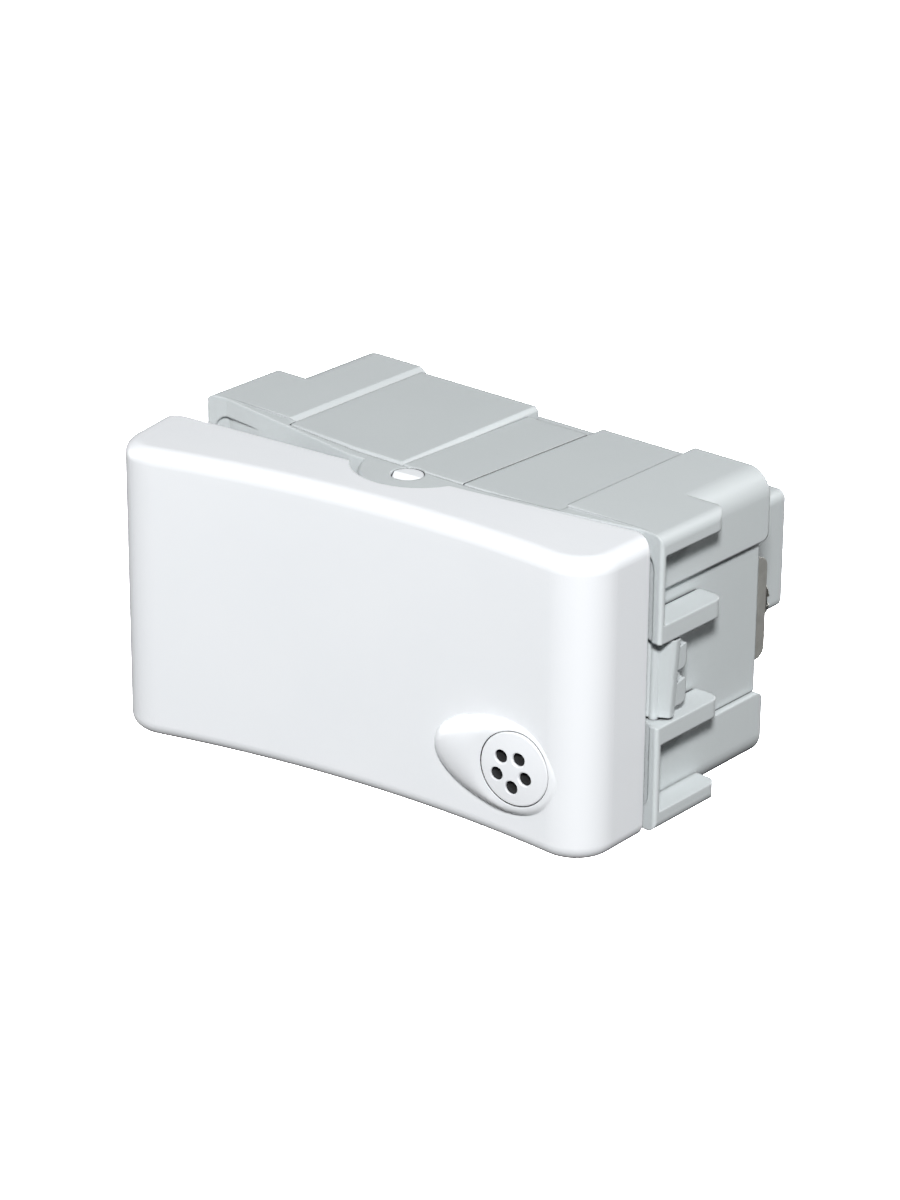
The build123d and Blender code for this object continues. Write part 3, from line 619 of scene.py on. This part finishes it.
bpy.context.scene.view_settings.view_transform = "Standard"
sky = bpy.data.worlds.new("studio")
sky.use_nodes = True
sky.node_tree.nodes["Background"].inputs["Color"].default_value = (1, 1, 1, 1)
sky.node_tree.nodes["Background"].inputs["Strength"].default_value = sky_strength
bpy.context.scene.world = sky
print("sky", sky_strength)

# %% [markdown]
# The picture tells where its lamp stood. The nose is dark on its lower left, and the shadows of the
# fingers hang straight down in the picture, so the lamp is right above the camera. A lamp's effect
# is easier to set as the brightness that it gives a white card held square to it, so the helper
# works its power out from that and from its distance.

# %% A soft box
middle = (Vector(cad_box[0]) + Vector(cad_box[1])) / 2
lamp_distance = 0.6


def soft_box(name, azimuth, elevation, size, card_brightness):
    """A square area lamp seen at an azimuth and elevation from the middle of the switch."""
    turn, rise = math.radians(azimuth), math.radians(elevation)
    ray = Vector((math.sin(turn) * math.cos(rise), -math.cos(turn) * math.cos(rise),
                  math.sin(rise)))
    lamp = bpy.data.lights.new(name, "AREA")
    lamp.size = size
    lamp.energy = card_brightness * (math.pi * lamp_distance) ** 2
    box = bpy.data.objects.new(name, lamp)
    box.location = middle + ray * lamp_distance
    box.rotation_euler = (-ray).to_track_quat("-Z", "Y").to_euler()
    bpy.context.scene.collection.objects.link(box)
    print(name, round(lamp.energy, 1), "W")


# %% [markdown]
# The main lamp does nearly all the work, and it is small, so that the shadows of the fingers have
# clear edges. A wide lamp far to the left lifts the hollow face and the left end without reaching
# the shadows on the right side. Another wide one stands behind, for whoever walks round the switch,
# and a small rim lamp draws bright lines along the edges.

# %% Lamps that light the switch
soft_box("main_box", azimuth=40, elevation=36, size=0.07, card_brightness=1.4)
soft_box("left_box", azimuth=290, elevation=5, size=0.3, card_brightness=0.5)
soft_box("rear_box", azimuth=180, elevation=6, size=0.3, card_brightness=0.6)
soft_box("rim_box", azimuth=151, elevation=36, size=0.1, card_brightness=0.2)

# %% [markdown]
# The camera is set by measurement. The picture's vanishing points give the lens and the two angles,
# and one known corner, the lower inner corner of the upper right finger bracket, pins the distance.
# First come the three directions of the camera: back along the line of sight, right and up.

# %% The line of sight
sight_azimuth = math.radians(40.126)
sight_elevation = math.radians(23.271)
sight_roll = 0.0073

back = Vector((math.sin(sight_azimuth) * math.cos(sight_elevation),
               -math.cos(sight_azimuth) * math.cos(sight_elevation), math.sin(sight_elevation)))
level = Vector((math.cos(sight_azimuth), math.sin(sight_azimuth), 0))
upright = back.cross(level)
right = math.cos(sight_roll) * level + math.sin(sight_roll) * upright
up = -math.sin(sight_roll) * level + math.cos(sight_roll) * upright
print("camera looks from", [round(v, 3) for v in back])

# %% [markdown]
# From the corner's place in space and its place in the picture follows where the camera stands. A
# long lens of about 120 mm keeps the lines of the switch nearly parallel, as in the picture.

# %% Camera
photo_width = 900
photo_height = 1200
lens_pixels = 4023.4
corner_pixel = (666.0, 554.3)
corner_place = Vector((21.66, -7.0, 10.02)) * mm
corner_distance = 278.25 * mm
sensor_side = 36.0
nearest_seen = 0.01

across = (corner_pixel[0] - photo_width / 2) / lens_pixels * corner_distance
down = (corner_pixel[1] - photo_height / 2) / lens_pixels * corner_distance
eye = corner_place + back * corner_distance - right * across + up * down

lens = bpy.data.cameras.new("camera")
lens.sensor_width = sensor_side
lens.lens = lens_pixels / photo_height * sensor_side
lens.clip_start = nearest_seen
camera = bpy.data.objects.new("camera", lens)
camera.matrix_world = Matrix.Translation(eye) @ Matrix((right, up, back)).transposed().to_4x4()
bpy.context.scene.collection.objects.link(camera)
bpy.context.scene.camera = camera
print("lens", round(lens.lens, 1), "mm, eye", [round(v / mm) for v in eye])

# %% [markdown]
# Last, the json module is imported once more.

# %% Import json
import json
